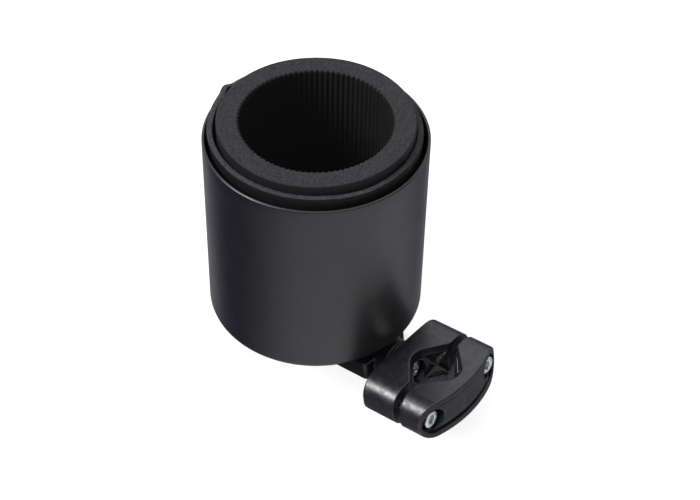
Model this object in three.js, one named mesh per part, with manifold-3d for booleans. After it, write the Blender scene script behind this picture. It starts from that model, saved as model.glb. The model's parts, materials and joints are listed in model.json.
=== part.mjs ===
// Cup holder on a two-jaw tube clamp, in millimetres, +Z up.
// The origin is the centre of the clamp's throat. The cup stands upright on -X, its axis parallel to Z.
// The arm and the clamp share one inclined frame: its x axis is the swivel axis, which climbs away from
// the cup, its y axis runs along the jaws and its z axis runs along the throat, where the tube goes.
import * as THREE from "three";
import { ConvexGeometry } from "three/addons/geometries/ConvexGeometry.js";
import { mergeVertices } from "three/addons/utils/BufferGeometryUtils.js";
import Module from "manifold-3d";

const wasm = await Module();
wasm.setup();

// Driving dimensions.
const GAP = 0.3; // left between pieces that touch
const INCLINE = THREE.MathUtils.degToRad(7.5); // climb of the arm and clamp away from the cup
const CUP_AXIS_X = -70.7;
const CUP_BASE_Z = 11.1;
const ROUND = 64; // segments of the cup, sleeve and foam
const SMALL_ROUND = 24; // segments of bolts, washers and bosses

const CUP = { radius: 49, wall: 1.6, floor: 2, height: 95.4, fillet: 3 };
const PAD = { radius: 32.6, thick: 6, hole: 6.7 }; // inside the foam insert's bore
const SLEEVE = { outer: 45.7, inner: 43, top: 99.2 };
const FOAM = { outer: 42.7, bore: 33, top: 103.7, shoulder: 0.5 };

const CLAMP = { length: 56.6, height: 20.8, endRadius: 9.2, halfGap: 1.7 };
const REAR_JAW = { outer: 20, bulge: 0.9, notchDepth: 9.3 };
const FRONT_JAW = { outer: 19.5, bulge: 6.9, notchDepth: 11.8 };
const NOTCH = { halfMouth: 15, halfFloor: 3.2, bend: 1.6, draft: 0.15 }; // widest, at the throat's top
const BORDER = { width: 2.7, depth: 0.7 }; // raised rim round the front jaw's recessed face
const PAST = 30; // a cutting tool's end, clear of the clamp on either side

const M5 = { shank: 2.5, hole: 2.85 };
const JAW_SCREW = { ...M5, offset: 20.8, head: 4.25, headHigh: 3, headFace: 14.2, tip: -19.2 };
const JAW_POCKET = { radius: 5.9, floor: 9.6 };
const JAW_NUT = { acrossFlats: 8, thick: 4, rear: -18.9 };
const JAW_WASHER = { outer: 4.9, thick: 1 };

const PIVOT = { ...M5, head: 4.25, headHigh: 4, headFace: -11.6, tip: -35 };
const PIVOT_NUT = { acrossFlats: 8, thick: 4, front: -29.5 };
const SWIVEL_BOSS = { radius: 10, front: -21.6 };
const SWIVEL_WASHER_THICK = 1;

const ARM = { width: 29, thick: 10, end: -27.6, shoulder: -58.6, tongue: 12, eye: 8, corner: 3 };
const KNUCKLE_DROP = 20.4; // tilt axis below the cup's base
const FORK = { plateRadius: 20, plateThick: 5, lug: 8, lugRadius: 9.5 };
const TURN_WASHER = { outer: 19, thick: 1 };
const TILT_BOLT = { ...M5, head: 4.6, headHigh: 4 };
const TILT_WASHER = { outer: 5.4, thick: 1 };
const TILT_NUT = { acrossFlats: 8, thick: 4 };
const CUP_SCREW = { shank: 3, head: 5.5, headHigh: 3, tip: -11.6, hole: 3.3 };
const CUP_WASHER = { outer: 6.2, thick: 1.2 };
const CUP_NUT = { acrossFlats: 10, thick: 4 };

const TURN = 2 * Math.PI;
const QUARTER = Math.PI / 2;

// A closed three.js geometry as a manifold-3d solid.
function solid(geometry) {
  const bare = geometry.clone();
  bare.deleteAttribute("normal");
  bare.deleteAttribute("uv");
  const merged = mergeVertices(bare, 1e-4);
  const mesh = new wasm.Mesh({
    numProp: 3,
    vertProperties: new Float32Array(merged.attributes.position.array),
    triVerts: new Uint32Array(merged.index.array),
  });
  return new wasm.Manifold(mesh);
}

// A manifold-3d solid as a three.js geometry with flat-shaded normals.
function geometryOf(body) {
  const mesh = body.getMesh();
  const geometry = new THREE.BufferGeometry();
  geometry.setAttribute("position", new THREE.BufferAttribute(mesh.vertProperties, 3));
  geometry.setIndex(new THREE.BufferAttribute(mesh.triVerts, 1));
  const flat = geometry.toNonIndexed();
  flat.computeVertexNormals();
  return flat;
}

function cut(base, tools) {
  return geometryOf(tools.reduce((body, tool) => body.subtract(solid(tool)), solid(base)));
}

function join(pieces) {
  const [first, ...rest] = pieces.map(solid);
  return geometryOf(rest.reduce((body, piece) => body.add(piece), first));
}

function common(first, second) {
  return geometryOf(solid(first).intersect(solid(second)));
}

// A closed profile of [radius, height] points, anticlockwise, turned about Z.
function revolve(profile, segments) {
  const points = [...profile, profile[0]].map(([r, z]) => new THREE.Vector2(r, z));
  const lathe = new THREE.LatheGeometry(points, segments).rotateX(QUARTER);
  return geometryOf(solid(lathe));
}

function arcPoints(centreR, centreZ, radius, from, to, steps) {
  return Array.from({ length: steps + 1 }, (_, i) => {
    const angle = from + ((to - from) * i) / steps;
    return [centreR + radius * Math.cos(angle), centreZ + radius * Math.sin(angle)];
  });
}

// A ring or disc about Z between two heights.
function ring(outer, inner, low, high, segments = SMALL_ROUND) {
  return revolve([[inner, low], [outer, low], [outer, high], [inner, high]], segments);
}

function disc(radius, low, high, segments = SMALL_ROUND) {
  return new THREE.CylinderGeometry(radius, radius, high - low, segments)
    .rotateX(QUARTER)
    .translate(0, 0, (low + high) / 2);
}

function hexagon(acrossFlats, low, high) {
  return disc(acrossFlats / Math.sqrt(3), low, high, 6);
}

// A hexagon nut about Z between two heights.
function hexNut(acrossFlats, hole, low, high) {
  return cut(hexagon(acrossFlats, low, high), [disc(hole, low - 1, high + 1)]);
}

// A screw along Z, head up, from the top of its head down to its tip, with a hexagon socket in the head.
function screw(spec, headTop, tip) {
  const neck = headTop - spec.headHigh;
  const edge = 0.6;
  const outline = [
    [0, tip],
    [spec.shank - edge, tip],
    [spec.shank, tip + edge],
    [spec.shank, neck],
    [spec.head, neck],
    [spec.head, headTop - edge],
    [spec.head - edge, headTop],
    [0, headTop],
  ];
  const points = outline.map(([r, z]) => new THREE.Vector2(r, z));
  const body = new THREE.LatheGeometry(points, SMALL_ROUND).rotateX(QUARTER);
  return cut(body, [hexagon(spec.head * 0.95, headTop - spec.headHigh * 0.6, headTop + 1)]);
}

// Turns a piece made about Z so that it lies along +X.
function alongX(geometry) {
  return geometry.rotateY(QUARTER);
}

// Turns a piece made about Z so that it lies along +Y.
function alongY(geometry) {
  return geometry.rotateX(-QUARTER);
}

function prism(shape, low, high, curveSegments = 8) {
  return new THREE.ExtrudeGeometry(shape, { depth: high - low, bevelEnabled: false, curveSegments })
    .translate(0, 0, low);
}

function roundedRectangle(width, height, radius) {
  const shape = new THREE.Shape();
  const x = width / 2 - radius;
  const y = height / 2 - radius;
  shape.absarc(x, y, radius, 0, QUARTER);
  shape.absarc(-x, y, radius, QUARTER, 2 * QUARTER);
  shape.absarc(-x, -y, radius, 2 * QUARTER, 3 * QUARTER);
  shape.absarc(x, -y, radius, 3 * QUARTER, TURN);
  return shape;
}

const part = new THREE.Group();

const cup = new THREE.Group();
cup.position.set(CUP_AXIS_X, 0, CUP_BASE_Z);
part.add(cup);

const knuckle = new THREE.Group();
knuckle.position.set(CUP_AXIS_X, 0, CUP_BASE_Z - KNUCKLE_DROP);
part.add(knuckle);

const clamp = new THREE.Group();
clamp.rotation.y = -INCLINE;
part.add(clamp);

function material(color, roughness, metalness) {
  return new THREE.MeshStandardMaterial({ color, roughness, metalness });
}

const paint = () => material(0x1b1b1e, 0.38, 0.3);
const neoprene = () => material(0x232326, 0.9, 0);
const foam = () => material(0x2c2c2e, 0.95, 0);
const plastic = () => material(0x1c1c1f, 0.45, 0);
const nylon = () => material(0x0f0f10, 0.6, 0);
const zinc = () => material(0xb9bcc0, 0.3, 1);

function add(group, name, geometry, finish) {
  const mesh = new THREE.Mesh(geometry, finish);
  mesh.name = name;
  group.add(mesh);
}

// ---- Cup: a drawn shell with a rolled-over lip, and what stands in it.
function cupShell() {
  const { radius, wall, floor, height, fillet } = CUP;
  const inner = radius - wall;
  const lip = wall / 2;
  const innerFillet = fillet - wall / 2;
  return revolve(
    [
      [CUP_SCREW.hole, 0],
      ...arcPoints(radius - fillet, fillet, fillet, -QUARTER, 0, 4),
      ...arcPoints(radius - lip, height - lip, lip, 0, 2 * QUARTER, 5),
      ...arcPoints(inner - innerFillet, floor + innerFillet, innerFillet, 0, -QUARTER, 2),
      [CUP_SCREW.hole, floor],
    ],
    ROUND,
  );
}

function foamInsert(bottom) {
  const { outer, bore, top, shoulder } = FOAM;
  const lead = 1;
  return revolve(
    [
      [bore, bottom],
      [outer, bottom],
      ...arcPoints(outer - shoulder, top - shoulder, shoulder, 0, QUARTER, 4),
      ...arcPoints(bore + lead, top - lead, lead, QUARTER, 2 * QUARTER, 3),
    ],
    ROUND,
  );
}

const floorTop = CUP.floor + GAP; // where everything inside the cup stands

add(cup, "cup_shell", cupShell(), paint());
add(cup, "base_pad", ring(PAD.radius, PAD.hole, floorTop, floorTop + PAD.thick, 48), foam());
add(cup, "neoprene_sleeve", ring(SLEEVE.outer, SLEEVE.inner, floorTop, SLEEVE.top, ROUND), neoprene());
add(cup, "foam_insert", foamInsert(floorTop), foam());

// ---- The screw that holds the cup to the fork, and lets it turn about its own axis.
const cupWasherHigh = floorTop + CUP_WASHER.thick;
const turnWasherLow = -GAP - TURN_WASHER.thick;
const plateTop = turnWasherLow - GAP;
const plateBottom = plateTop - FORK.plateThick;
const cupNutTop = plateBottom - GAP;
const cupScrewTop = cupWasherHigh + GAP + CUP_SCREW.headHigh;

add(cup, "cup_screw", screw(CUP_SCREW, cupScrewTop, CUP_SCREW.tip), zinc());
add(cup, "cup_washer", ring(CUP_WASHER.outer, CUP_SCREW.hole, floorTop, cupWasherHigh), zinc());
add(cup, "turn_washer", ring(TURN_WASHER.outer, CUP_SCREW.hole, turnWasherLow, -GAP, 36), nylon());
add(
  cup,
  "cup_nut",
  hexNut(CUP_NUT.acrossFlats, CUP_SCREW.hole, cupNutTop - CUP_NUT.thick, cupNutTop),
  zinc(),
);

// ---- Fork under the cup: a round plate with two lugs, bored across for the tilt bolt.
function forkBracket() {
  const top = KNUCKLE_DROP + plateTop;
  const bottom = KNUCKLE_DROP + plateBottom;
  const lugCentre = ARM.tongue / 2 + GAP + FORK.lug / 2;
  const shape = new THREE.Shape();
  const flank = FORK.lugRadius;
  shape.moveTo(flank, 0);
  shape.lineTo(flank + 2, bottom + 1);
  shape.lineTo(-flank - 2, bottom + 1);
  shape.lineTo(-flank, 0);
  shape.absarc(0, 0, flank, 2 * QUARTER, TURN);
  const lug = () => prism(shape, -FORK.lug / 2, FORK.lug / 2, 10).rotateX(QUARTER);
  const body = join([
    disc(FORK.plateRadius, bottom, top, 48),
    lug().translate(0, -lugCentre, 0),
    lug().translate(0, lugCentre, 0),
  ]);
  return cut(body, [
    disc(CUP_SCREW.hole, bottom - 1, top + 1),
    alongY(disc(TILT_BOLT.hole, -FORK.plateRadius, FORK.plateRadius)),
  ]);
}

const lugFace = ARM.tongue / 2 + GAP + FORK.lug;
const tiltWasherFar = lugFace + GAP + TILT_WASHER.thick;
const tiltNutFar = tiltWasherFar + GAP + TILT_NUT.thick;
const tiltHeadFar = tiltWasherFar + GAP + TILT_BOLT.headHigh;
const tiltWasher = (turn) =>
  alongY(ring(TILT_WASHER.outer, TILT_BOLT.hole, lugFace + GAP, tiltWasherFar)).rotateZ(turn);

add(knuckle, "fork_bracket", forkBracket(), plastic());
add(knuckle, "tilt_bolt", alongY(screw(TILT_BOLT, tiltHeadFar, -tiltNutFar - 1)), zinc());
add(knuckle, "tilt_washer_head", tiltWasher(0), zinc());
add(knuckle, "tilt_washer_nut", tiltWasher(2 * QUARTER), zinc());
add(
  knuckle,
  "tilt_nut",
  alongY(hexNut(TILT_NUT.acrossFlats, TILT_BOLT.hole, -tiltNutFar, -tiltWasherFar - GAP)),
  zinc(),
);

// ---- Arm: a tongue in the fork, a flat bar, and a round boss that the clamp swivels on.
const tiltAxisX = CUP_AXIS_X / Math.cos(INCLINE); // the tilt axis, in the inclined frame

function arm() {
  const barLength = ARM.end - ARM.shoulder;
  const barOutline = roundedRectangle(barLength, ARM.width, ARM.corner);
  const barMiddle = (ARM.end + ARM.shoulder) / 2;
  const bar = prism(barOutline, -ARM.thick / 2, ARM.thick / 2, 4).translate(barMiddle, 0, 0);
  const boss = alongX(disc(SWIVEL_BOSS.radius, ARM.end - 2, SWIVEL_BOSS.front, 36));
  const tongueShape = new THREE.Shape();
  tongueShape.moveTo(0, ARM.eye);
  tongueShape.absarc(0, 0, ARM.eye, QUARTER, 3 * QUARTER);
  tongueShape.lineTo(ARM.shoulder + 3 - tiltAxisX, -ARM.thick / 2);
  tongueShape.lineTo(ARM.shoulder + 3 - tiltAxisX, ARM.thick / 2);
  const tongue = prism(tongueShape, -ARM.tongue / 2, ARM.tongue / 2, 10)
    .rotateX(QUARTER)
    .translate(tiltAxisX, 0, 0);
  const slotLength = PIVOT_NUT.thick + 2 * GAP;
  const slotWidth = (2 * PIVOT_NUT.acrossFlats) / Math.sqrt(3) + 2 * GAP;
  const slotTop = PIVOT_NUT.acrossFlats / 2 + GAP;
  const nutSlot = new THREE.BoxGeometry(slotLength, slotWidth, ARM.thick + slotTop)
    .translate(PIVOT_NUT.front - PIVOT_NUT.thick / 2, 0, (slotTop - ARM.thick) / 2);
  return cut(join([bar, boss, tongue]), [
    alongX(disc(PIVOT.hole, PIVOT.tip - 2, SWIVEL_BOSS.front + 2)),
    alongY(disc(TILT_BOLT.hole, -ARM.width, ARM.width)).translate(tiltAxisX, 0, 0),
    nutSlot,
  ]);
}

add(clamp, "arm", arm(), plastic());
add(
  clamp,
  "pivot_nut",
  alongX(hexNut(PIVOT_NUT.acrossFlats, PIVOT.hole, PIVOT_NUT.front - PIVOT_NUT.thick, PIVOT_NUT.front)),
  zinc(),
);
const swivelWasherLow = SWIVEL_BOSS.front + GAP;
const swivelWasherHigh = swivelWasherLow + SWIVEL_WASHER_THICK;
add(
  clamp,
  "swivel_washer",
  alongX(ring(SWIVEL_BOSS.radius, PIVOT.hole, swivelWasherLow, swivelWasherHigh, 36)),
  nylon(),
);

// The radius of an outer face that bulges this much over the clamp's length.
function outerRadius(bulge) {
  return ((CLAMP.length / 2) ** 2 + bulge ** 2) / (2 * bulge);
}

// ---- Jaws: a plan outline raised along the throat, trimmed to the rounded end outline, less the V notch.
// side is -1 for the rear jaw and 1 for the front jaw. Plan x is across the jaws, plan y along them.
function jawBlank(side, spec) {
  const halfLength = CLAMP.length / 2;
  const face = side * CLAMP.halfGap;
  const radius = outerRadius(spec.bulge);
  const swing = Math.asin(halfLength / radius);
  const centreX = side * (spec.outer - radius);
  const middle = side > 0 ? 0 : 2 * QUARTER;
  const plan = new THREE.Shape();
  plan.absarc(centreX, 0, radius, middle - side * swing, middle + side * swing, side < 0);
  plan.lineTo(face, halfLength);
  plan.lineTo(face, -halfLength);
  plan.closePath();
  const raised = prism(plan, -CLAMP.height / 2, CLAMP.height / 2, 16);
  return cut(common(raised, endOutline(0, -PAST, PAST)), [notch(side, spec.notchDepth)]);
}

// The V notch of one jaw: it narrows downwards by its draft, which draws the floor and both walls in.
function notch(side, depth) {
  const run = NOTCH.halfMouth - NOTCH.halfFloor;
  const outline = (z) => {
    const drawnIn = NOTCH.draft * (CLAMP.height / 2 - z);
    const floorX = depth - drawnIn;
    const wallY = (x) => NOTCH.halfMouth - (x * run + drawnIn * Math.hypot(depth, run)) / depth;
    const shape = new THREE.Shape();
    shape.moveTo(-1, wallY(-1));
    shape.lineTo(floorX - NOTCH.bend, wallY(floorX - NOTCH.bend));
    shape.quadraticCurveTo(floorX, wallY(floorX), floorX, wallY(floorX) - NOTCH.bend);
    shape.lineTo(floorX, NOTCH.bend - wallY(floorX));
    shape.quadraticCurveTo(floorX, -wallY(floorX), floorX - NOTCH.bend, -wallY(floorX - NOTCH.bend));
    shape.lineTo(-1, -wallY(-1));
    return shape.getPoints(6).map(({ x, y }) => new THREE.Vector3(side * (CLAMP.halfGap + x), y, z));
  };
  return new ConvexGeometry([...outline(CLAMP.height / 2 + 1), ...outline(-CLAMP.height / 2 - 1)]);
}

// The clamp's outline seen along its swivel axis, drawn in by inset, from low to high along that axis.
function endOutline(inset, low, high) {
  const shape = roundedRectangle(
    CLAMP.height - 2 * inset,
    CLAMP.length - 2 * inset,
    CLAMP.endRadius - inset,
  );
  return alongX(prism(shape, low, high, 6));
}

// A copy of a cutting tool on each jaw screw's axis.
function onBothScrews(makeTool) {
  return [-1, 1].map((side) => makeTool().translate(0, side * JAW_SCREW.offset, 0));
}

function rearJaw() {
  const nutPocketEnd = JAW_NUT.rear + JAW_NUT.thick + GAP;
  return cut(jawBlank(-1, REAR_JAW), [
    ...onBothScrews(() => alongX(hexagon(JAW_NUT.acrossFlats + 2 * GAP, -PAST, nutPocketEnd))),
    ...onBothScrews(() => alongX(disc(JAW_SCREW.hole, -PAST, 0))),
    alongX(disc(PIVOT.hole, -PAST, 0)),
    alongX(disc(PIVOT.head + GAP, PIVOT.headFace - PIVOT.headHigh - GAP, 0)),
  ]);
}

function frontJaw() {
  const radius = outerRadius(FRONT_JAW.bulge);
  const core = disc(radius - BORDER.depth, -PAST, PAST, 144).translate(FRONT_JAW.outer - radius, 0, 0);
  return cut(jawBlank(1, FRONT_JAW), [
    cut(endOutline(BORDER.width, CLAMP.halfGap, PAST), [core]),
    ...onBothScrews(() => alongX(disc(JAW_POCKET.radius, JAW_POCKET.floor, PAST, 32))),
    ...onBothScrews(() => alongX(disc(JAW_SCREW.hole, 0, PAST))),
  ]);
}

add(clamp, "rear_jaw", rearJaw(), plastic());
add(clamp, "front_jaw", frontJaw(), plastic());
add(clamp, "pivot_bolt", alongX(screw(PIVOT, PIVOT.headFace, PIVOT.tip)), zinc());

for (const [name, side] of [["near", -1], ["far", 1]]) {
  const y = side * JAW_SCREW.offset;
  const washerLow = JAW_POCKET.floor + GAP;
  const nutFront = JAW_NUT.rear + JAW_NUT.thick;
  const bolt = alongX(screw(JAW_SCREW, JAW_SCREW.headFace, JAW_SCREW.tip));
  const washer = alongX(ring(JAW_WASHER.outer, JAW_SCREW.hole, washerLow, washerLow + JAW_WASHER.thick));
  const nut = alongX(hexNut(JAW_NUT.acrossFlats, JAW_SCREW.hole, JAW_NUT.rear, nutFront));
  add(clamp, `jaw_screw_${name}`, bolt.translate(0, y, 0), zinc());
  add(clamp, `jaw_washer_${name}`, washer.translate(0, y, 0), zinc());
  add(clamp, `jaw_nut_${name}`, nut.translate(0, y, 0), zinc());
}

export default part;
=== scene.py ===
"""Looks of the tube clamp cup holder: a coated cup with soft liners, on a plastic arm and a two-jaw clamp.

Shapes are worked out in millimetres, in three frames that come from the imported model, and then made as
meshes in metres.
"""

import itertools
import json
import math

import bpy
import numpy as np
from mathutils import Matrix, Vector


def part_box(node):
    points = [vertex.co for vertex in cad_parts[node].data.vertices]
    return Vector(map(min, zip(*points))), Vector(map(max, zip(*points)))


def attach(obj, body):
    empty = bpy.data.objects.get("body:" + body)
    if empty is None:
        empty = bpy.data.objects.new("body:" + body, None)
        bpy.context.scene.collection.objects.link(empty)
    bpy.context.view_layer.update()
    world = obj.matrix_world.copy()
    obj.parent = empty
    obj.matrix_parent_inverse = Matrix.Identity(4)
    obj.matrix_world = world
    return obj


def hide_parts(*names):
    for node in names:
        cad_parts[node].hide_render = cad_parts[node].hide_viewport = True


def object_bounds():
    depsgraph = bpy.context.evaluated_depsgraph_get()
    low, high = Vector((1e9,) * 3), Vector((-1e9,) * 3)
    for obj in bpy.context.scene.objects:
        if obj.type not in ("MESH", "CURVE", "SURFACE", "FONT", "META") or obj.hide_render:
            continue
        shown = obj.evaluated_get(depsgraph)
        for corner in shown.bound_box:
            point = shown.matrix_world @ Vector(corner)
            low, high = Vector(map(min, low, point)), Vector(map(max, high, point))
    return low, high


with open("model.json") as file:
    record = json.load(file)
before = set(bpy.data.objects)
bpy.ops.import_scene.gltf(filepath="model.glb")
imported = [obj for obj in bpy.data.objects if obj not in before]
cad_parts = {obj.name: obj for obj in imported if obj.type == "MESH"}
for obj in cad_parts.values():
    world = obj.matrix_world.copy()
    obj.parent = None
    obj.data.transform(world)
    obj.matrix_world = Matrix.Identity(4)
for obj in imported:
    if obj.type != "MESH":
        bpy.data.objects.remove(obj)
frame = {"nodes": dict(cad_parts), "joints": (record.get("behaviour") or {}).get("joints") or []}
cad_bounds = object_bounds()

MM = 0.001
TURN = 2 * math.pi

# Camera, in millimetres and degrees.
CAMERA_PLACE = (279.6, -417.5, 572.7)
CAMERA_AZIMUTH, CAMERA_ELEVATION, CAMERA_ROLL = 38.36, 44.48, 1.43
CAMERA_LENS = 86.24

# Cup, sleeve, foam and pad, in millimetres and in degrees round the cup. Bores and holes are radii.
CUP_WALL, CUP_FLOOR, CUP_FILLET, CUP_CHAMFER = 1.6, 2.0, 3.0, 0.4
CUP_HOLE = 3.3
CUP_SEGMENTS, PAD_SEGMENTS = 256, 128
RIBS, RIB_DEPTH, RIB_STEPS = 88, 0.33, 8
FOAM_BORE, FOAM_LEAD, FOAM_SHOULDER = 33.0, 1.1, 0.5
FOAM_CROWN = 6.0  # how far below its top the foam's height is uneven
FOAM_PIT = {"angle": 158.0, "radius": 39.0, "wide": 0.7, "deep": 0.9}
SLEEVE_INNER, SLEEVE_CORNER, SLEEVE_STEPS = 43.0, 0.45, 150
SLEEVE_RAGGED = 14.0  # how far below its top the sleeve's height is uneven
SLEEVE_PUSHED, SLEEVE_PUSH_RISE = 4.0, 3.6  # the pushes start this far below the top, and grow over this
SEAM_GAP = 0.06  # half the gap between the sleeve's two strips
SEAMS = {"right": 7.0, "left": 187.0}
SLEEVE_BUMPS = (  # on the sleeve's top edge: the place, half the width, the rise and the push outwards
    (SEAMS["left"], 3.0, 1.4, 0.7),
    (SEAMS["left"], 16.0, 0.0, 2.0),
    (226.0, 20.0, 0.0, 1.0),  # leans against the lip
    (SEAMS["right"], 2.2, 0.5, 0.55),
)
PAD_HOLE, PAD_CORNER = 6.7, 0.8

# Waves round the cup in the tops of the soft pieces: how many, how high and their phase.
FOAM_WAVES = ((2, 0.18, 0.4), (3, 0.1, 2.1), (7, 0.04, 1.0))
SLEEVE_WAVES = ((5, 0.16, 0.7), (9, 0.1, 2.0), (23, 0.05, 0.3), (61, 0.035, 1.1))
PAD_WAVES = ((3, 0.1, 0.5), (5, 0.06, 1.5))

# Clamp, in millimetres, in the jaws' frame.
END_RADIUS = 9.2
REAR_BULGE, REAR_NOTCH = 0.9, 9.3
FRONT_BULGE, FRONT_NOTCH = 6.9, 11.8
NOTCH_MOUTH, NOTCH_FLOOR, NOTCH_BEND = 15.0, 3.2, 1.6
DRAFT = 0.15  # how fast the V notches narrow downwards
BORDER, RECESS_TOP, RECESS_BOTTOM = 2.7, 0.7, 1.0
GROOVE = {"half_width": 0.42, "widening": 0.3, "deep": 1.3}  # round the front jaw's recessed panel
PANEL_RIBS = {"high": 0.16, "pitch": 1.3, "middle": -2.5, "half_length": 9.2, "half_height": 5.5}
CROSS = {"half_wide": 6.2, "half_high": 6.4, "rib": 0.75, "deep": 1.7}  # cored into each V wall
OUTER_EDGE, INNER_EDGE, NOTCH_EDGE = 0.5, 0.4, 0.6  # roundings
HOLE_EDGE, EYE_EDGE, FLOOR_EDGE, GROOVE_EDGE = 0.3, 0.4, 0.2, 0.12
SCREW_OFFSET, M5_HOLE = 20.8, 2.85  # how far each jaw screw is from the middle, and a hole's radius
SCREW_POCKET, POCKET_FLOOR = 5.9, 9.6  # round each jaw screw's head
NUT_POCKET, NUT_POCKET_FLOOR = 8.6, -14.6  # across its flats, and where it ends
PIVOT_POCKET, PIVOT_POCKET_FLOOR = 5.5, -15.9  # round the pivot bolt's head
CELL = 0.36  # grid step of the moulded pieces

# Arm and fork, in millimetres: the arm in the jaws' frame, the fork in the tilt axis's.
ARM_BAR = {"middle": -43.1, "half_length": 15.5, "half_width": 14.5, "half_thick": 5.0}
ARM_BOSS = {"middle": -26.6, "half_length": 5.0, "radius": 10.0}
ARM_BORE = {"middle": -28.3, "half_length": 8.7}
ARM_NUT_SLOT = {"middle": -31.5, "half_length": 2.3, "half_width": 4.9, "top": 4.3}
ARM_CORNER = 3.0
EYE, TONGUE_HALF = 8.0, 6.0
WEB = {"half_length": 9.0, "thinning": 3.0, "thinned_over": 15.7}  # joins the tongue's eye to the bar
FORK_PLATE = {"radius": 20.0, "thick": 5.0}
LUG = {"radius": 9.5, "middle": 10.3, "half_thick": 4.0, "spread": 2.0}

# Fasteners, in millimetres: radii, heights along their axis, and hexagons across their flats.
M5 = {"shank": 2.5, "socket": 4.0, "pitch": 0.8}
JAW_SCREW = {**M5, "head": 4.25, "head_high": 3.0, "thread_top": 5.0}
PIVOT_BOLT = {**M5, "head": 4.25, "head_high": 4.0, "thread_top": -24.0}
TILT_BOLT = {**M5, "head": 4.6, "head_high": 4.0, "thread_top": -8.0}
M6 = {"shank": 3.0, "socket": 5.0, "pitch": 1.0}
CUP_SCREW = {**M6, "head": 5.5, "head_high": 3.0, "thread_top": -1.5}
M5_NUT = {"across_flats": 8.0, "hole": 2.55}
M6_NUT = {"across_flats": 10.0, "hole": 3.05}
JAW_WASHER = {"outer": 4.9, "hole": M5_HOLE}
SWIVEL_WASHER = {"outer": 10.0, "hole": M5_HOLE}
TILT_WASHER = {"outer": 5.4, "hole": M5_HOLE}
CUP_WASHER = {"outer": 6.2, "hole": CUP_HOLE}
TURN_WASHER = {"outer": 19.0, "hole": CUP_HOLE, "edge": 0.25}
THREAD = {"deep": 0.36, "lead_in": 1.0, "run_out": 0.6, "steps": 8}
SCREW_SEGMENTS, WASHER_SEGMENTS = 48, 64


def set_camera():
    camera = bpy.data.objects.new("camera", bpy.data.cameras.new("camera"))
    bpy.context.scene.collection.objects.link(camera)
    angles = (CAMERA_AZIMUTH, CAMERA_ELEVATION, CAMERA_ROLL)
    azimuth, elevation, roll = (math.radians(v) for v in angles)
    level, lift = math.cos(elevation), math.sin(elevation)
    back = Vector((math.sin(azimuth) * level, -math.cos(azimuth) * level, lift))
    right = Vector((math.cos(azimuth), math.sin(azimuth), 0))
    right = math.cos(roll) * right + math.sin(roll) * back.cross(right)
    up = back.cross(right)
    turn = Matrix((right, up, back)).transposed().to_4x4()
    camera.matrix_world = Matrix.Translation(Vector(CAMERA_PLACE) * MM) @ turn
    camera.data.sensor_width = 36
    camera.data.lens = CAMERA_LENS
    bpy.context.scene.camera = camera


set_camera()


# ---- Frames: the cup's is upright at the middle of its underside, and the knuckle's is upright at the tilt
# axis. The jaws' frame leans, with its x axis along the swivel axis.
def joint(name):
    return next(j for j in frame["joints"] if j["name"] == name)


def jaws_frame():
    across = Vector(joint("clamp_swivel")["axis"]).normalized()
    along = Vector((0, 1, 0))
    turn = Matrix((across, along, across.cross(along))).transposed().to_4x4()
    return Matrix.Translation(Vector(joint("clamp_swivel")["pos_m"])) @ turn


JAWS = jaws_frame()
KNUCKLE = Matrix.Translation(Vector(joint("arm_tilt")["pos_m"]))
CUP = Matrix.Translation((joint("cup_turn")["pos_m"][0], 0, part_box("cup_shell")[0].z))


def span(node, place):
    """Lowest and highest corner of a CAD node in a frame, in millimetres."""
    inverse = np.array(place.inverted())
    corners = np.array([v.co for v in frame["nodes"][node].data.vertices])
    local = corners @ inverse[:3, :3].T + inverse[:3, 3]
    return local.min(0) / MM, local.max(0) / MM


# ---- Mesh tools.
def piece(name, vertices, faces, place, finish, sharp=None):
    """A mesh object from millimetres in a frame. Edges steeper than sharp degrees stay crisp."""
    mesh = bpy.data.meshes.new(name)
    mesh.from_pydata((np.asarray(vertices) * MM).tolist(), [], faces)
    mesh.validate()
    mesh.shade_smooth()
    if sharp:
        mesh.set_sharp_from_angle(angle=math.radians(sharp))
    mesh.materials.append(finish)
    made = bpy.data.objects.new(name, mesh)
    made.matrix_world = place
    bpy.context.scene.collection.objects.link(made)
    return made


def stand(made, body, slot, *nodes):
    """made rides on a body and stands for CAD nodes, which are hidden. slot is not used."""
    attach(made, body)
    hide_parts(*nodes)


def strip_faces(rings, points, closed_rings, closed_points):
    """Quads between rings of points, numbered ring by ring."""
    faces = []
    for i in range(rings if closed_rings else rings - 1):
        here, after = i * points, (i + 1) % rings * points
        for j in range(points if closed_points else points - 1):
            k = (j + 1) % points
            faces.append((here + j, here + k, after + k, after + j))
    return faces


def arc(centre, middle, radius, start, end, steps):
    """Points of a profile's round corner, as (radius, height)."""
    angles = np.radians(np.linspace(start, end, steps + 1))
    return [(centre + radius * math.cos(a), middle + radius * math.sin(a)) for a in angles]


def line(first, last, steps):
    """Points of a profile's straight stretch, without its last one."""
    shares = np.arange(steps) / steps
    return [tuple(np.add(first, np.multiply(np.subtract(last, first), s))) for s in shares]


def ring(angles, radius, height):
    """Points round z at these angles, each at its radius and height."""
    return np.stack([radius * np.cos(angles), radius * np.sin(angles), height + 0 * angles], axis=-1)


def turned(profile, segments):
    """A profile turned about z: rings of points, one ring for each point of the profile."""
    angles = np.arange(segments) / segments * TURN
    radius, height = np.array(profile).T[:, :, None]
    return ring(angles, radius, height), angles


# ---- Distance functions, negative inside, for the moulded pieces.
def meet(a, b, radius):
    """What is in both, with a rounded edge between them."""
    outside = np.hypot(np.maximum(a + radius, 0), np.maximum(b + radius, 0))
    return np.minimum(-radius, np.maximum(a, b)) + outside


def join(a, b, radius):
    """What is in either, with a fillet between them."""
    return -meet(-a, -b, radius)


def minus(a, b, radius):
    """What is in a and not in b, with a rounded edge."""
    return meet(a, -b, radius)


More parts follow.
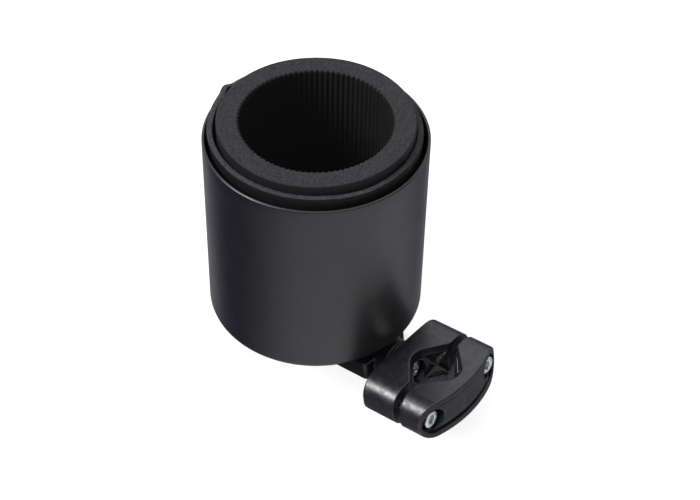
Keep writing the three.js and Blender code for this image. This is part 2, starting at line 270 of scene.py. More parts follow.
def rounded_rectangle(p, q, half_p, half_q, radius):
    a, b = np.abs(p) - half_p + radius, np.abs(q) - half_q + radius
    return np.hypot(np.maximum(a, 0), np.maximum(b, 0)) + np.minimum(np.maximum(a, b), 0) - radius


def hexagon(p, q, across_flats):
    sides = [np.abs(p * math.cos(t) + q * math.sin(t)) for t in (0, math.pi / 3, 2 * math.pi / 3)]
    return np.maximum.reduce(sides) - across_flats / 2


def slopes(distance, points, step=0.02):
    """The gradient of a distance function."""
    shifts = np.eye(3) * step
    return np.stack([distance(points + s) - distance(points - s) for s in shifts], axis=-1) / (2 * step)


def surface(distance, low, high, cell=CELL):
    """The zero surface of a distance function: a vertex in each grid cell it crosses, joined by quads."""
    low, high = np.array(low, float) - 1.5 * cell, np.array(high, float) + 1.5 * cell
    counts = np.ceil((high - low) / cell).astype(int) + 1
    ticks = [low[k] + cell * np.arange(counts[k]) for k in range(3)]
    grid = np.stack(np.meshgrid(*ticks, indexing="ij"), axis=-1)
    values = distance(grid)
    total = np.zeros((*(counts - 1), 3))
    hits = np.zeros(counts - 1)
    crossings = []
    for axis in range(3):
        first, second = [slice(None)] * 3, [slice(None)] * 3
        first[axis], second[axis] = slice(0, -1), slice(1, None)
        a, b = values[tuple(first)], values[tuple(second)]
        crossed = (a < 0) != (b < 0)
        crossings.append((crossed, a < 0))
        share = np.where(crossed, a / np.where(crossed, a - b, 1), 0)
        where = grid[tuple(first)].copy()
        where[..., axis] += share * cell
        where *= crossed[..., None]
        for offsets in itertools.product((0, 1), repeat=2):
            pick = [slice(None)] * 3
            for k, offset in zip([k for k in range(3) if k != axis], offsets):
                pick[k] = slice(offset, counts[k] - 1 + offset)
            total += where[tuple(pick)]
            hits += crossed[tuple(pick)]
    used = hits > 0
    number = np.full(used.shape, -1)
    number[used] = np.arange(used.sum())
    vertices = total[used] / hits[used][:, None]
    faces = []
    for axis, (crossed, inside) in enumerate(crossings):
        right, up = (axis + 1) % 3, (axis + 2) % 3
        at = np.argwhere(crossed)
        corners = []
        for back_right, back_up in ((1, 1), (0, 1), (0, 0), (1, 0)):
            cells = at.copy()
            cells[:, right] -= back_right
            cells[:, up] -= back_up
            corners.append(number[tuple(cells.T)])
        quads = np.stack(corners, axis=-1)
        outward = inside[tuple(at.T)]
        faces.append(np.where(outward[:, None], quads, quads[:, ::-1]))
    for _ in range(3):
        slope = slopes(distance, vertices)
        length = np.maximum((slope**2).sum(-1), 0.25)
        vertices -= np.clip(distance(vertices) / length, -cell / 2, cell / 2)[:, None] * slope
    return vertices, np.concatenate(faces).tolist()


# ---- Materials.
class Finish:
    """A procedural material: one Principled shader and a few helpers for the nodes that feed it.

    sockets are the shader's own inputs, with _ for each space in a name.
    """

    def __init__(self, name, roughness, **sockets):
        self.made = bpy.data.materials.new(name)
        self.made.use_nodes = True
        self.nodes, self.links = self.made.node_tree.nodes, self.made.node_tree.links
        self.shader = self.nodes["Principled BSDF"]
        self.shader.inputs["Roughness"].default_value = roughness
        for socket, value in sockets.items():
            self.shader.inputs[socket.replace("_", " ")].default_value = value
        places = self.nodes.new("ShaderNodeTexCoord")
        self.where, self.normal = places.outputs["Object"], places.outputs["Normal"]
        self.height = None

    def stretched(self, stretch):
        """Object coordinates, scaled along each axis."""
        mapping = self.nodes.new("ShaderNodeMapping")
        mapping.inputs["Scale"].default_value = stretch
        self.links.new(self.where, mapping.inputs["Vector"])
        return mapping.outputs["Vector"]

    def noise(self, size, detail=2.0, stretch=(1, 1, 1)):
        """Noise whose spots are about size millimetres across."""
        made = self.nodes.new("ShaderNodeTexNoise")
        made.inputs["Scale"].default_value = 1 / (size * MM)
        made.inputs["Detail"].default_value = detail
        self.links.new(self.stretched(stretch), made.inputs["Vector"])
        return made.outputs["Fac"]

    def pores(self, size):
        """Rounded cells about size millimetres across: 0 at a cell's middle."""
        made = self.nodes.new("ShaderNodeTexVoronoi")
        made.inputs["Scale"].default_value = 1 / (size * MM)
        self.links.new(self.where, made.inputs["Vector"])
        return made.outputs["Distance"]

    def ranged(self, value, low, high, to_low, to_high):
        """A value that goes from to_low to to_high as value goes from low to high, and no further."""
        made = self.nodes.new("ShaderNodeMapRange")
        limits = {"From Min": low, "From Max": high, "To Min": to_low, "To Max": to_high}
        for socket, number in limits.items():
            made.inputs[socket].default_value = number
        self.links.new(value, made.inputs["Value"])
        return made.outputs["Result"]

    def product(self, first, second):
        made = self.nodes.new("ShaderNodeMath")
        made.operation = "MULTIPLY"
        self.links.new(first, made.inputs[0])
        self.links.new(second, made.inputs[1])
        return made.outputs[0]

    def facing(self, axis):
        """How far the surface faces along an axis of the piece's own frame, from -1 to 1."""
        made = self.nodes.new("ShaderNodeSeparateXYZ")
        self.links.new(self.normal, made.inputs[0])
        return made.outputs[axis]

    def ramp(self, value, dark, light, low=0.3, high=0.7):
        """A colour from dark to light as value goes from low to high."""
        made = self.nodes.new("ShaderNodeValToRGB")
        for stop, place, shade in zip(made.color_ramp.elements, (low, high), (dark, light)):
            stop.position = place
            stop.color = (*shade, 1)
        self.links.new(value, made.inputs["Fac"])
        return made.outputs["Color"]

    def mixed(self, share, first, second):
        """Sets the base colour to a mix of two."""
        made = self.nodes.new("ShaderNodeMix")
        made.data_type = "RGBA"
        self.links.new(share, made.inputs["Factor"])
        self.links.new(first, made.inputs["A"])
        self.links.new(second, made.inputs["B"])
        self.links.new(made.outputs["Result"], self.shader.inputs["Base Color"])

    def colour(self, value, dark, light):
        self.links.new(self.ramp(value, dark, light), self.shader.inputs["Base Color"])

    def roughness(self, value, low, high):
        self.links.new(self.ranged(value, 0.25, 0.75, low, high), self.shader.inputs["Roughness"])

    def bump(self, value, depth):
        """Adds relief of depth millimetres."""
        made = self.nodes.new("ShaderNodeBump")
        made.inputs["Distance"].default_value = depth * MM
        self.links.new(value, made.inputs["Height"])
        if self.height:
            self.links.new(self.height, made.inputs["Normal"])
        self.height = made.outputs["Normal"]
        self.links.new(self.height, self.shader.inputs["Normal"])


def coat_finish():
    """Satin black powder coat: a fine orange peel, and faint smears in its gloss."""
    made = Finish("satin_coat", 0.36)
    made.colour(made.noise(9, 3), (0.0035, 0.0035, 0.0045), (0.0055, 0.0055, 0.0065))
    made.roughness(made.noise(14, 4, (1, 1, 0.5)), 0.31, 0.4)
    made.bump(made.noise(1.1, 1), 0.012)
    made.bump(made.noise(0.35, 2), 0.004)
    return made.made


def foam_finish(name, skin, dark, light, cell, depth, lift):
    """Closed-cell foam: a smooth dark skin on its sides, and a paler tight speckle of cut cells on its top.

    cell and depth are in millimetres. lift is a faint painted glow over the whole piece, which is no lamp:
    it lightens the darkest places, such as the bore.
    """
    # Painted glow: the foam gives off faint light of its own, which lightens its dark bore.
    glow = {"Emission_Color": (0.9, 0.9, 1, 1), "Emission_Strength": lift}
    made = Finish(name, 0.9, Specular_IOR_Level=0.16, **glow)
    cut = made.ranged(made.facing("Z"), 0.86, 0.95, 0, 1)
    pores, clouds = made.pores(cell), made.noise(3, 4)
    specks, patches = made.ranged(pores, 0.0, 0.75, 0.35, 1.1), made.ranged(clouds, 0.3, 0.7, 0.85, 1.1)
    cells = made.ramp(made.product(specks, patches), dark, light, 0.3, 1.0)
    smooth = made.ramp(clouds, [v * 0.8 for v in skin], skin)
    made.mixed(cut, smooth, cells)
    made.links.new(made.ranged(cut, 0, 1, 0.6, 0.95), made.shader.inputs["Roughness"])
    made.bump(made.product(pores, cut), depth)
    made.bump(made.noise(0.4, 2), depth * 0.3)
    return made.made


def plastic_finish():
    """Glass-filled black nylon: satin and a little uneven, with painted shade where it faces out along x:
    there its gloss is dimmed, so its reflections are darker.
    """
    made = Finish("moulded_nylon", 0.42)
    streaks = (1, 1, 0.12)
    # Painted shade: the gloss is turned down on faces that look out along x, to darken their reflections.
    dimmed_gloss = made.ranged(made.facing("X"), 0.7, 0.93, 0.5, 0.19)
    made.links.new(dimmed_gloss, made.shader.inputs["Specular IOR Level"])
    made.colour(made.noise(5, 4), (0.006, 0.006, 0.0075), (0.0095, 0.0095, 0.0115))
    blotches, scratches = made.noise(3.4, 4), made.noise(0.9, 4, streaks)
    scuffs = made.product(blotches, made.ranged(scratches, 0.2, 0.8, 0.6, 1.4))
    made.links.new(made.ranged(scuffs, 0.3, 0.7, 0.26, 0.44), made.shader.inputs["Roughness"])
    made.bump(made.noise(2.6, 3), 0.016)
    made.bump(made.noise(0.5, 2, streaks), 0.012)
    made.bump(made.noise(0.22, 2), 0.006)
    return made.made


def nylon_finish():
    """Plain black nylon, a little duller in patches, for the bearing washers."""
    made = Finish("washer_nylon", 0.55)
    made.colour(made.noise(3, 3), (0.009, 0.009, 0.01), (0.014, 0.014, 0.015))
    made.roughness(made.noise(1, 2), 0.48, 0.62)
    made.bump(made.noise(0.3, 2), 0.006)
    return made.made


def zinc_finish():
    """Zinc-plated steel with a slightly mottled surface."""
    made = Finish("zinc_plate", 0.3, Metallic=1.0)
    made.colour(made.noise(0.9, 4), (0.45, 0.48, 0.49), (0.75, 0.78, 0.8))
    made.roughness(made.noise(0.6, 3), 0.2, 0.38)
    made.bump(made.noise(0.25, 2), 0.006)
    return made.made


COAT = coat_finish()
FOAM = foam_finish(
    "cut_foam",
    skin=(0.0056, 0.0056, 0.0062),
    dark=(0.0035, 0.0035, 0.0038),
    light=(0.0255, 0.0255, 0.0275),
    cell=0.72,
    depth=0.13,
    lift=0.0022,
)
NEOPRENE = foam_finish(
    "cut_neoprene",
    skin=(0.003, 0.003, 0.0036),
    dark=(0.003, 0.003, 0.0036),
    light=(0.043, 0.043, 0.047),
    cell=0.66,
    depth=0.12,
    lift=0.0012,
)
PLASTIC = plastic_finish()
NYLON = nylon_finish()
ZINC = zinc_finish()


# ---- Cup, sleeve, foam ring and bottom pad.
def round_distance(angles, place, radius):
    """Millimetres round the cup from a place, given in degrees."""
    away = (angles - math.radians(place) + math.pi) % TURN - math.pi
    return away * radius


def cup_body():
    radius, _, height = span("cup_shell", CUP)[1]
    inner, lip = radius - CUP_WALL, CUP_WALL / 2
    bend, chamfer = CUP_FILLET - CUP_WALL / 2, CUP_CHAMFER
    profile = [
        *arc(CUP_HOLE + chamfer, chamfer, chamfer, 180, 270, 3),
        *line((CUP_HOLE + 3, 0), (radius - CUP_FILLET, 0), 6),
        *arc(radius - CUP_FILLET, CUP_FILLET, CUP_FILLET, -90, 0, 8),
        *line((radius, CUP_FILLET + 1), (radius, height - lip), 12),
        *arc(radius - lip, height - lip, lip, 0, 180, 12),
        *line((inner, height - lip - 1), (inner, CUP_FLOOR + bend), 10),
        *arc(inner - bend, CUP_FLOOR + bend, bend, 0, -90, 6),
        *line((inner - bend - 1, CUP_FLOOR), (CUP_HOLE + chamfer, CUP_FLOOR), 5),
        *arc(CUP_HOLE + chamfer, CUP_FLOOR - chamfer, chamfer, 90, 180, 3),
    ]
    rings, _ = turned(profile, CUP_SEGMENTS)
    faces = strip_faces(len(profile), CUP_SEGMENTS, True, True)
    made = piece("cup_body", rings.reshape(-1, 3), faces, CUP, COAT)
    stand(made, "cup", "cup_coat", "cup_shell")


def wave(angles, parts):
    """A smooth uneven line round the cup: the sum of some waves."""
    return sum(height * np.sin(count * angles + phase) for count, height, phase in parts)


def foam_ring():
    low, high = span("foam_insert", CUP)
    outer, top, bottom, bore = high[0], high[2], low[2], FOAM_BORE
    segments = RIBS * RIB_STEPS
    profile = [
        *line((bore, bottom), (bore, top - FOAM_LEAD), 12),
        *arc(bore + FOAM_LEAD, top - FOAM_LEAD, FOAM_LEAD, 180, 90, 5),
        *line((bore + FOAM_LEAD + 0.6, top), (outer - FOAM_SHOULDER, top), 8),
        *arc(outer - FOAM_SHOULDER, top - FOAM_SHOULDER, FOAM_SHOULDER, 90, 0, 8),
        *line((outer, top - FOAM_SHOULDER - 0.6), (outer, bottom), 10),
        (outer, bottom),
    ]
    rings, angles = turned(profile, segments)
    radius = np.hypot(rings[..., 0], rings[..., 1])
    # The ribs fade out over the lead-in and are gone on the flat top.
    inward = np.clip((bore + FOAM_LEAD * 1.6 - radius) / (FOAM_LEAD * 1.2), 0, 1)
    lobes = 0.55 - np.abs(np.cos(RIBS / 2 * angles))
    scale = 1 + inward * lobes * 2 * RIB_DEPTH / radius
    rings[..., :2] *= scale[..., None]
    crown = np.clip((rings[..., 2] - top + FOAM_CROWN) / FOAM_CROWN, 0, 1)
    rings[..., 2] += crown * wave(angles, FOAM_WAVES)
    pit = math.radians(FOAM_PIT["angle"])
    middle = FOAM_PIT["radius"] * np.array((math.cos(pit), math.sin(pit)))
    away = np.hypot(rings[..., 0] - middle[0], rings[..., 1] - middle[1])
    rings[..., 2] -= crown * FOAM_PIT["deep"] * np.exp(-((away / FOAM_PIT["wide"]) ** 2))
    faces = [face[::-1] for face in strip_faces(len(profile), segments, True, True)]
    made = piece("foam_ring", rings.reshape(-1, 3), faces, CUP, FOAM, sharp=50)
    stand(made, "insert", "foam", "foam_insert")


def sleeve_band():
    """Two strips of neoprene, butted at two seams, where their ends pucker."""
    low, high = span("neoprene_sleeve", CUP)
    outer, top, bottom, inner = high[0], high[2], low[2], SLEEVE_INNER
    corner = SLEEVE_CORNER
    section = [
        *arc(outer - corner, top - corner, corner, 0, 90, 4),
        *arc(inner + corner, top - corner, corner, 90, 180, 4),
        *line((inner, top - corner - 0.8), (inner, bottom), 14),
        (inner, bottom),
        (outer, bottom),
        *line((outer, bottom + 1), (outer, top - corner), 14)[1:],
    ]
    radius, height = np.array(section).T
    vertices, faces = [], []
    lifted = np.clip((height - top + SLEEVE_RAGGED) / SLEEVE_RAGGED, 0, 1) ** 2
    pushed = np.clip((height - top + SLEEVE_PUSHED) / SLEEVE_PUSH_RISE, 0, 1) ** 1.5
    starts = sorted(SEAMS.values())
    gap = SEAM_GAP / outer
    for first, last in zip(starts, (starts[1], starts[0] + 360)):
        shares = (1 - np.cos(np.linspace(0, math.pi, SLEEVE_STEPS + 1))) / 2
        angles = math.radians(first) + gap + shares * (math.radians(last - first) - 2 * gap)
        up, out = wave(angles, SLEEVE_WAVES), 0
        for place, half_width, rise, push in SLEEVE_BUMPS:
            bump = np.exp(-((round_distance(angles, place, outer) / half_width) ** 2))
            up, out = up + rise * bump, out + push * bump
        sections = ring(angles[:, None], radius + pushed * out[:, None], height + lifted * up[:, None])
        base, count = len(vertices), len(section)
        vertices.extend(sections.reshape(-1, 3).tolist())
        strips = strip_faces(SLEEVE_STEPS + 1, count, False, True)
        faces += [tuple(base + v for v in face) for face in strips]
        faces.append(tuple(base + k for k in reversed(range(count))))
        faces.append(tuple(base + SLEEVE_STEPS * count + k for k in range(count)))
    made = piece("sleeve_band", vertices, faces, CUP, NEOPRENE, sharp=55)
    stand(made, "sleeve", "neoprene", "neoprene_sleeve")


def bottom_pad():
    low, high = span("base_pad", CUP)
    outer, top, bottom, hole, corner = high[0], high[2], low[2], PAD_HOLE, PAD_CORNER
    profile = [
        *arc(hole + corner, top - corner, corner, 180, 90, 4),
        *line((hole + 2, top), (outer - corner, top), 8),
        *arc(outer - corner, top - corner, corner, 90, 0, 4),
        *arc(outer - corner, bottom + corner, corner, 0, -90, 3),
        *arc(hole + corner, bottom + corner, corner, 270, 180, 3),
    ]
    rings, angles = turned(profile, PAD_SEGMENTS)
    rings[..., 2] += (rings[..., 2] > (top + bottom) / 2) * wave(angles, PAD_WAVES)
    faces = [face[::-1] for face in strip_faces(len(profile), PAD_SEGMENTS, True, True)]
    made = piece("bottom_pad", rings.reshape(-1, 3), faces, CUP, FOAM)
    stand(made, "cup", "foam", "base_pad")


# ---- Jaws.
def jaw_blank(points, side, face, outer, half_length, half_height, bulge, notch_depth):
    """A jaw without its holes, and two distances: from its arched outer face and from its ends."""
    across, along, up = side * points[..., 0], points[..., 1], points[..., 2]
    ends = rounded_rectangle(along, up, half_length, half_height, END_RADIUS)
    radius = (half_length**2 + bulge**2) / (2 * bulge)
    arched = np.hypot(across - outer + radius, along) - radius
    body = meet(meet(ends, face - across, INNER_EDGE), arched, OUTER_EDGE)
    slope = np.array((notch_depth, NOTCH_MOUTH - NOTCH_FLOOR))
    slope /= np.hypot(*slope)
    wall = (np.abs(along) - NOTCH_MOUTH) * slope[0] + (across - face) * slope[1]
    narrowing = DRAFT * (half_height - up)
    wall = wall + narrowing
    notch = meet(wall, across - face - notch_depth + narrowing, NOTCH_BEND)
    body = minus(body, notch, NOTCH_EDGE)
    middle = np.array((face + notch_depth / 2, (NOTCH_MOUTH + NOTCH_FLOOR) / 2))
    downhill = -(across - middle[0]) * slope[0] + (np.abs(along) - middle[1]) * slope[1]
    return minus(body, cored_cross(downhill, up, wall), 0.2), arched, ends


def cored_cross(sideways, up, wall):
    """Four shallow pockets in a V wall that leave an X of ribs standing between them."""
    half_wide, half_high = CROSS["half_wide"], CROSS["half_high"]
    size = math.hypot(half_wide, half_high)
    bars = [np.abs(sideways * half_high + s * up * half_wide) / size - CROSS["rib"] for s in (-1, 1)]
    pocket = meet(np.abs(sideways) - half_wide, np.abs(up) - half_high, 0.5)
    pocket = meet(pocket, -np.minimum(*bars), FLOOR_EDGE)
    return meet(pocket, wall - CROSS["deep"], FLOOR_EDGE)


def front_jaw_shape(points):
    low, high = span("front_jaw", JAWS)
    half_length, half_height = (high[1:] - low[1:]) / 2
    body, arched, ends = jaw_blank(
        points, 1, low[0], high[0], half_length, half_height, FRONT_BULGE, FRONT_NOTCH
    )
    across, along, up = points[..., 0], points[..., 1], points[..., 2]
    lower = np.clip(0.5 - up / (2 * half_height), 0, 1)
    depth = RECESS_TOP + (RECESS_BOTTOM - RECESS_TOP) * lower**1.5
    ribbed = np.abs(along - PANEL_RIBS["middle"]) < PANEL_RIBS["half_length"]
    ribbed = ribbed & (np.abs(up) < PANEL_RIBS["half_height"])
    ribs = PANEL_RIBS["high"] * np.clip(np.cos(along * TURN / PANEL_RIBS["pitch"]), 0, 1) * ribbed
    recess = meet(ends + BORDER, -arched - depth + ribs, FLOOR_EDGE)
    body = minus(body, recess, 0.15)
    width = GROOVE["half_width"] + GROOVE["widening"] * lower
    groove = meet(np.abs(ends + BORDER + width) - width, -arched - depth - GROOVE["deep"], GROOVE_EDGE)
    body = minus(body, groove, GROOVE_EDGE)
    from_screw = np.hypot(np.abs(along) - SCREW_OFFSET, up)
    pocket = meet(from_screw - SCREW_POCKET, POCKET_FLOOR - across, HOLE_EDGE)
    body = minus(body, pocket, HOLE_EDGE)
    return minus(body, from_screw - M5_HOLE, HOLE_EDGE)


def rear_jaw_shape(points):
    low, high = span("rear_jaw", JAWS)
    half_length, half_height = (high[1:] - low[1:]) / 2
    body, _, _ = jaw_blank(
        points, -1, -high[0], -low[0], half_length, half_height, REAR_BULGE, REAR_NOTCH
    )
    across, along, up = points[..., 0], points[..., 1], points[..., 2]
    past_screw = np.abs(along) - SCREW_OFFSET
    pocket = meet(hexagon(past_screw, up, NUT_POCKET), across - NUT_POCKET_FLOOR, FLOOR_EDGE)
    body = minus(body, pocket, 0.25)
    body = minus(body, np.hypot(past_screw, up) - M5_HOLE, HOLE_EDGE)
    from_pivot = np.hypot(along, up)
    body = minus(body, from_pivot - M5_HOLE, HOLE_EDGE)
    pocket = meet(from_pivot - PIVOT_POCKET, PIVOT_POCKET_FLOOR - across, FLOOR_EDGE)
    return minus(body, pocket, HOLE_EDGE)


def moulding(name, shape, node, place, body):
    """A plastic piece meshed from a distance function of points in a frame."""
    low, high = span(node, place)
    vertices, faces = surface(shape, low, high)
    made = piece(name, vertices, faces, place, PLASTIC)
    stand(made, body, "jaw_plastic", node)


# ---- Arm and fork.
def beyond(across, stretch):
    """How far a place is past the ends of a stretch of the arm."""
    return np.abs(across - stretch["middle"]) - stretch["half_length"]


def arm_shape(points):
    across, along, up = points[..., 0], points[..., 1], points[..., 2]
    low, high = span("arm", JAWS)
    axis = low[0] + EYE
    outline = rounded_rectangle(
        across - ARM_BAR["middle"], along, ARM_BAR["half_length"], ARM_BAR["half_width"], ARM_CORNER
    )
    bar = meet(outline, np.abs(up) - ARM_BAR["half_thick"], 1.0)
    from_pivot, from_tilt = np.hypot(along, up), np.hypot(across - axis, up)
    boss = meet(from_pivot - ARM_BOSS["radius"], beyond(across, ARM_BOSS), 0.5)
    body = join(bar, boss, 1.2)
    thinning = WEB["thinning"] * np.clip((across - axis) / WEB["thinned_over"], 0, 1)
    web_ends = np.abs(across - axis - WEB["half_length"]) - WEB["half_length"]
    web = np.maximum(np.abs(up) - EYE + thinning, web_ends)
    tongue = meet(np.minimum(from_tilt - EYE, web), np.abs(along) - TONGUE_HALF, 0.6)
    body = join(body, tongue, 1.0)
    body = minus(body, meet(from_pivot - M5_HOLE, beyond(across, ARM_BORE), 0.1), HOLE_EDGE)
    body = minus(body, from_tilt - M5_HOLE, EYE_EDGE)
    slot = np.maximum(beyond(across, ARM_NUT_SLOT), np.abs(along) - ARM_NUT_SLOT["half_width"])
    return minus(body, meet(slot, up - ARM_NUT_SLOT["top"], HOLE_EDGE), HOLE_EDGE)


def fork_shape(points):
    across, along, up = points[..., 0], points[..., 1], points[..., 2]
    top = span("fork_bracket", KNUCKLE)[1][2]
    thick = FORK_PLATE["thick"]
    bottom = top - thick
    disc = np.hypot(across, along) - FORK_PLATE["radius"]
    plate = meet(disc, np.abs(up - top + thick / 2) - thick / 2, 0.7)
    circle = np.hypot(across, up) - LUG["radius"]
    half_width = LUG["radius"] + LUG["spread"] * np.clip(up / bottom, 0, 1)
    cheek = np.maximum(np.abs(across) - half_width, np.abs(up - bottom / 2) - bottom / 2 - 0.5)
    sides = np.abs(np.abs(along) - LUG["middle"]) - LUG["half_thick"]
    body = join(plate, meet(np.minimum(circle, cheek), sides, 0.6), 1.5)
    body = minus(body, np.hypot(across, along) - CUP_HOLE, HOLE_EDGE)
    return minus(body, np.hypot(across, up) - M5_HOLE, EYE_EDGE)


# ---- Screws, nuts and washers, each made about z and aimed along its own axis.
def hexagon_radius(angles, across_flats):
    return across_flats / 2 / np.cos((angles + math.pi / 6) % (math.pi / 3) - math.pi / 6)


def stacked(name, rings, place, finish, closed):
    """Rings of points joined into a solid. An open stack is capped at both ends."""
    count = len(rings[0])
    faces = strip_faces(len(rings), count, closed, True)
    if not closed:
        faces.append(tuple(reversed(range(count))))
        faces.append(tuple((len(rings) - 1) * count + k for k in range(count)))
    return piece(name, np.concatenate(rings), faces, place, finish, sharp=32)


def screw(name, place, finish, low, high, shank, socket, pitch, head, head_high, thread_top):
    """A socket screw from its tip at low to its head's top at high, threaded from the tip to thread_top."""
    angles = np.arange(SCREW_SEGMENTS) / SCREW_SEGMENTS * TURN
    neck = high - head_high
    stack = [(shank * 0.5, low), (shank - 0.55, low)]
    for height in np.arange(low + 0.35, thread_top, pitch / THREAD["steps"]):
        phase = (height / pitch - angles / TURN) % 1
        fade = min(1, (height - low) / THREAD["lead_in"], (thread_top - height) / THREAD["run_out"])
        depth = THREAD["deep"] * (1 - np.abs(2 * phase - 1)) * max(fade, 0)
        stack.append((np.minimum(shank - depth, shank - 0.5 + (height - low)), height))
    stack += [(shank, thread_top + 0.1), (shank, neck), (head - 0.25, neck), (head, neck + 0.25)]
    edge = 0.55
    stack += arc(head - edge, high - edge, edge, 0, 90, 4)
    flats = hexagon_radius(angles, socket)
    mouth = np.maximum(flats, socket / 2 + 0.35)
    stack += [(mouth + 0.12, high), (flats, high - 0.3), (flats, high - head_high * 0.62)]
    stack += [(flats * 0.55, high - head_high * 0.7)]
    rings = [ring(angles, radius, height) for radius, height in stack]
    return stacked(name, rings, place, finish, closed=False)


def nut(name, place, finish, low, high, across_flats, hole):
    angles = np.arange(SCREW_SEGMENTS) / SCREW_SEGMENTS * TURN
    flats = hexagon_radius(angles, across_flats)
    inset = across_flats / 2 * 0.96
    stack = [
        (hole, low + 0.45), (hole + 0.4, low), (inset, low), (flats, low + 0.5),
        (flats, high - 0.5), (inset, high), (hole + 0.4, high), (hole, high - 0.45),
    ]
    rings = [ring(angles, radius, height) for radius, height in stack]
    return stacked(name, rings, place, finish, closed=True)


def washer(name, place, finish, low, high, outer, hole, edge=0.2):
    profile = [
        (hole, low + edge), (hole + edge, low), (outer - edge, low), (outer, low + edge),
        (outer, high - edge), (outer - edge, high), (hole + edge, high), (hole, high - edge),
    ]
    rings, _ = turned(profile, WASHER_SEGMENTS)
    return stacked(name, list(rings), place, finish, closed=True)


def aim(place, axis, aside):
    """A frame whose z points along an axis of another, moved aside along its y, in millimetres."""
    turns = {"x": (math.pi / 2, "Y"), "y": (-math.pi / 2, "X"), "z": (0, "Z")}
    angle, about = turns[axis]
    return place @ Matrix.Translation(Vector((0, aside, 0)) * MM) @ Matrix.Rotation(angle, 4, about)


def fasten(make, name, node, body, line_up, sizes, slot="zinc"):
    """A screw, nut or washer in place of a node, lined up on a frame's axis, or aside from it."""
    place, axis, aside = line_up
    low, high = (corner["xyz".index(axis)] for corner in span(node, place))
    finish = {"zinc": ZINC, "nylon": NYLON}[slot]
    stand(make(name, aim(place, axis, aside), finish, low, high, **sizes), body, slot, node)


def jaw_fasteners():
    for name, side in (("near", -1), ("far", 1)):
        at = (JAWS, "x", side * SCREW_OFFSET)
        fasten(screw, f"{name}_jaw_screw", f"jaw_screw_{name}", f"screw_{name}", at, JAW_SCREW)
        fasten(nut, f"{name}_jaw_nut", f"jaw_nut_{name}", "clamp", at, M5_NUT)
        fasten(washer, f"{name}_jaw_washer", f"jaw_washer_{name}", "front_jaw", at, JAW_WASHER)


def arm_fasteners():
    at = (JAWS, "x", 0)
    fasten(screw, "swivel_screw", "pivot_bolt", "arm", at, PIVOT_BOLT)
    fasten(nut, "swivel_nut", "pivot_nut", "arm", at, M5_NUT)
    fasten(washer, "swivel_bearing", "swivel_washer", "arm", at, SWIVEL_WASHER, slot="nylon")


def fork_fasteners():
    at = (KNUCKLE, "y", 0)
    fasten(screw, "tilt_screw", "tilt_bolt", "fork", at, TILT_BOLT)
    fasten(nut, "tilt_lock_nut", "tilt_nut", "fork", at, M5_NUT)
    fasten(washer, "tilt_head_washer", "tilt_washer_head", "fork", at, TILT_WASHER)
    fasten(washer, "tilt_nut_washer", "tilt_washer_nut", "fork", at, TILT_WASHER)


def cup_fasteners():
    at = (CUP, "z", 0)
    fasten(screw, "cup_centre_screw", "cup_screw", "fork", at, CUP_SCREW)
    fasten(nut, "cup_lock_nut", "cup_nut", "fork", at, M6_NUT)
    fasten(washer, "cup_screw_washer", "cup_washer", "cup", at, CUP_WASHER)
    fasten(washer, "turn_bearing", "turn_washer", "fork", at, TURN_WASHER, slot="nylon")


cup_body()
foam_ring()
sleeve_band()
bottom_pad()
moulding("front_jaw_moulding", front_jaw_shape, "front_jaw", JAWS, "front_jaw")
moulding("rear_jaw_moulding", rear_jaw_shape, "rear_jaw", JAWS, "clamp")
moulding("arm_moulding", arm_shape, "arm", JAWS, "arm")
moulding("fork_moulding", fork_shape, "fork_bracket", KNUCKLE, "fork")
jaw_fasteners()
arm_fasteners()
fork_fasteners()
cup_fasteners()


# ---- Stage: a pale floor in a pale room, under soft studio light that is brighter from some sides.
def lobe(tree, looking, direction, inner, outer, strength):
    """Light from round a direction: full inside one angle, in degrees, and gone past another."""
    facing = tree.nodes.new("ShaderNodeVectorMath")
    facing.operation = "DOT_PRODUCT"
    facing.inputs[1].default_value = Vector(direction).normalized()
    tree.links.new(looking, facing.inputs[0])
    fade = tree.nodes.new("ShaderNodeMapRange")
    fade.interpolation_type = "SMOOTHSTEP"
    fade.inputs["From Min"].default_value = math.cos(math.radians(outer))
    fade.inputs["From Max"].default_value = math.cos(math.radians(inner))
    fade.inputs["To Max"].default_value = strength
    tree.links.new(facing.outputs["Value"], fade.inputs["Value"])
    return fade.outputs["Result"]


WHITE, BLACK = (1, 1, 1, 1), (0, 0, 0, 1)
FILL_COLOUR, FILL = (0.5, 0.56, 1.0, 1), 0.085
STAGE_HALF = 3.0  # half the width of the floor and the room, in metres
FLOOR_DROP, CARD_DROP = 0.002, 0.001  # how far below the object the floor and the card are, in metres
FLOOR_GLOW, WALL_GLOW = 0.8, 0.95
# A soft shadow painted on the floor right under the clamp: its middle, where it starts to fade and where it
# is gone, and the floor's glow inside it.
SHADOW = {"centre": (-0.0065, 0.023), "inner": 0.009, "outer": 0.017, "glow": 0.012}  # in metres
STUDIO_LIGHTS = {  # direction, the angles where it is full and gone, and strength
    "overhead": ((0.0, 0.0, 1.0), 15, 75, 1.45),
    "front_glow": ((0.68, -0.22, -0.70), 12, 75, 1.04),
    "rear_glow": ((-0.52, 0.48, -0.70), 5, 42, 0.45),
    "back_wall": ((-0.55, 0.6, 0.58), 10, 45, 0.85),
    "left_softbox": ((-0.44, -0.68, 0.53), 6, 17, 30.0),
    "back_left_panel": ((-0.97, 0.2, -0.12), 8, 32, 1.1),
    "back_right_panel": ((0.34, 0.94, -0.12), 8, 32, 1.1),
}


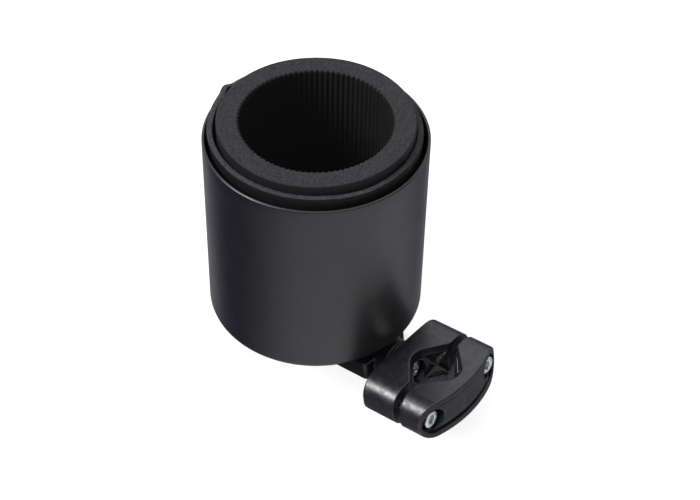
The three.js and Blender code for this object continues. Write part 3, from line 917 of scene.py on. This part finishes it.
def studio():
    world = bpy.data.worlds.new("studio")
    world.use_nodes = True
    tree = world.node_tree
    looking = tree.nodes.new("ShaderNodeTexCoord").outputs["Generated"]
    fill = tree.nodes["Background"]
    fill.inputs["Color"].default_value = FILL_COLOUR
    fill.inputs["Strength"].default_value = FILL
    total = fill.outputs[0]
    for light in STUDIO_LIGHTS.values():
        source = tree.nodes.new("ShaderNodeBackground")
        source.inputs["Color"].default_value = WHITE
        tree.links.new(lobe(tree, looking, *light), source.inputs["Strength"])
        add = tree.nodes.new("ShaderNodeAddShader")
        tree.links.new(total, add.inputs[0])
        tree.links.new(source.outputs[0], add.inputs[1])
        total = add.outputs[0]
    tree.links.new(total, tree.nodes["World Output"].inputs["Surface"])
    bpy.context.scene.world = world


def stage_mesh(name, vertices, faces, finish, seen_by=("camera",)):
    """A part of the stage, which only some kinds of ray meet."""
    mesh = bpy.data.meshes.new(name)
    mesh.from_pydata(vertices, [], faces)
    mesh.materials.append(finish.made)
    made = bpy.data.objects.new(name, mesh)
    bpy.context.scene.collection.objects.link(made)
    for ray in ("camera", "diffuse", "glossy", "transmission", "volume_scatter", "shadow"):
        setattr(made, f"visible_{ray}", ray in seen_by)


def floor():
    """A pale floor with a small soft shadow painted right under the clamp, which stands close over it."""
    half, level = STAGE_HALF, cad_bounds[0].z - FLOOR_DROP
    corners = [(-half, -half, level), (half, -half, level), (half, half, level), (-half, half, level)]
    paper = Finish("pale_paper", 0.9, Base_Color=(0.25, 0.25, 0.25, 1), Emission_Color=WHITE)
    away = paper.nodes.new("ShaderNodeVectorMath")
    away.operation = "DISTANCE"
    away.inputs[1].default_value = (*SHADOW["centre"], level)
    paper.links.new(paper.where, away.inputs[0])
    reach = away.outputs["Value"]
    glow = paper.ranged(reach, SHADOW["inner"], SHADOW["outer"], SHADOW["glow"], FLOOR_GLOW)
    paper.links.new(glow, paper.shader.inputs["Emission Strength"])
    stage_mesh("floor", corners, [(0, 1, 2, 3)], paper)


def backdrop():
    """The evenly lit walls and ceiling of a pale room round everything."""
    corners = list(itertools.product((-STAGE_HALF, STAGE_HALF), repeat=3))
    walls = [(0, 1, 3, 2), (4, 6, 7, 5), (0, 4, 5, 1), (2, 3, 7, 6), (1, 5, 7, 3)]
    paint = Finish("pale_wall", 0.9, Base_Color=BLACK, Emission_Color=WHITE, Emission_Strength=WALL_GLOW)
    stage_mesh("backdrop", corners, walls, paint)


def shaded_patch():
    """A dark card that stands in for the shade on the floor under the object, as its gloss and its soft
    light see it. The camera doesn't.
    """
    low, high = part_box("cup_shell")[0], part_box("rear_jaw")[1]
    level, edge, half = cad_bounds[0].z - CARD_DROP, 0.006, 0.03
    left, right = low.x + edge, high.x
    corners = [(left, -half, level), (right, -half, level), (right, half, level), (left, half, level)]
    card = Finish("painted_shade_card", 0.9, Base_Color=(0.004, 0.004, 0.004, 1))
    stage_mesh("shaded_patch", corners, [(0, 1, 2, 3)], card, seen_by=("glossy", "diffuse"))


studio()
floor()
shaded_patch()
backdrop()
bpy.context.scene.view_settings.view_transform = "Standard"
